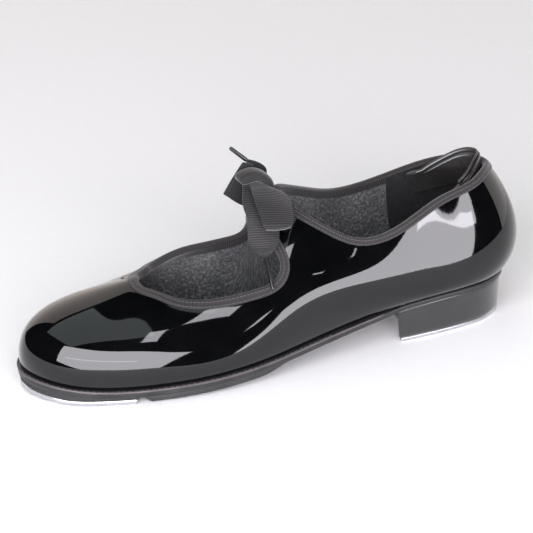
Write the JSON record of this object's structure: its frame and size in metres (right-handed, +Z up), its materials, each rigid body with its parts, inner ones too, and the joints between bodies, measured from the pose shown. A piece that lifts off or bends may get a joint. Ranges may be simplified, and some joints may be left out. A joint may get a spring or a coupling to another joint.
{
  "type": "tap shoe",
  "caption": "Low-heeled black patent tap shoe for the left foot, with a ribbon bow through two tabs, a padded collar and metal taps at toe and heel.",
  "frame": {"origin": "middle of the bounding box, on the floor the taps rest on", "axes": "+Z up, toe towards -Y, heel towards +Y, +X towards the outer (little toe) side of this left shoe"},
  "size_m": [0.0779, 0.2608, 0.1046],
  "materials": {
    "patent": "black patent coating, mirror gloss",
    "lining": "grey knit",
    "heel_lining": "black, smooth",
    "binding": "ribbed woven tape",
    "vinyl": "satin padded vinyl",
    "ribbon": "grosgrain",
    "ribbon_tip": "satin",
    "eyelet": "black enamel",
    "stiffener": "matt",
    "insole_board": "matt fibre board",
    "filler": "granulated cork",
    "sock": "knit over foam",
    "outsole": "satin resin sole",
    "rubber_pad": "matt, fine texture",
    "tap_board": "matt fibre board",
    "tap": "satin cast",
    "heel": "satin gloss lacquer",
    "shank": "blued spring steel",
    "fastener": "zinc plated"
  },
  "bodies": {
    "rearfoot": {"upper": "patent", "vamp_lining": "lining", "heel_lining": "heel_lining", "topline_binding": "binding", "collar_pad": "vinyl", "collar_piping": "vinyl", "ribbon_knot": "ribbon", "ribbon_loop_left": "ribbon", "ribbon_loop_right": "ribbon", "ribbon_tail_left": "ribbon", "ribbon_tail_right": "ribbon", "ribbon_strap": "ribbon", "aglet_left": "ribbon_tip", "aglet_right": "ribbon_tip", "tab_eyelet_left": "eyelet", "tab_eyelet_right": "eyelet", "heel_counter": "stiffener", "insole_board": "insole_board", "bottom_filler": "filler", "sock_lining": "sock", "outsole": "outsole", "half_sole_pad": "rubber_pad", "heel_tap": "tap", "heel_block": "heel", "shank": "shank", "heel_tap_screw_1": "fastener", "heel_tap_screw_2": "fastener", "heel_tap_screw_3": "fastener", "heel_screw": "fastener", "heel_nail_1": "fastener", "heel_nail_2": "fastener", "heel_nail_3": "fastener", "heel_nail_4": "fastener"},
    "forefoot": {"toe_tap": "tap", "toe_tap_board": "tap_board", "toe_tap_screw_1": "fastener", "toe_tap_screw_2": "fastener", "toe_tap_screw_3": "fastener", "toe_box": "stiffener"}
  },
  "joints": [
    {"name": "ball_flex", "type": "hinge", "parent": "rearfoot", "child": "forefoot", "pos_m": [0, -0.0428, 0.006], "axis": [-0.985, -0.1725, 0], "range_deg": [0, 35], "stiffness_Nm_per_rad": 2.5, "deforming": ["upper", "vamp_lining", "topline_binding", "outsole", "half_sole_pad", "insole_board", "sock_lining", "bottom_filler"]}
  ]
}
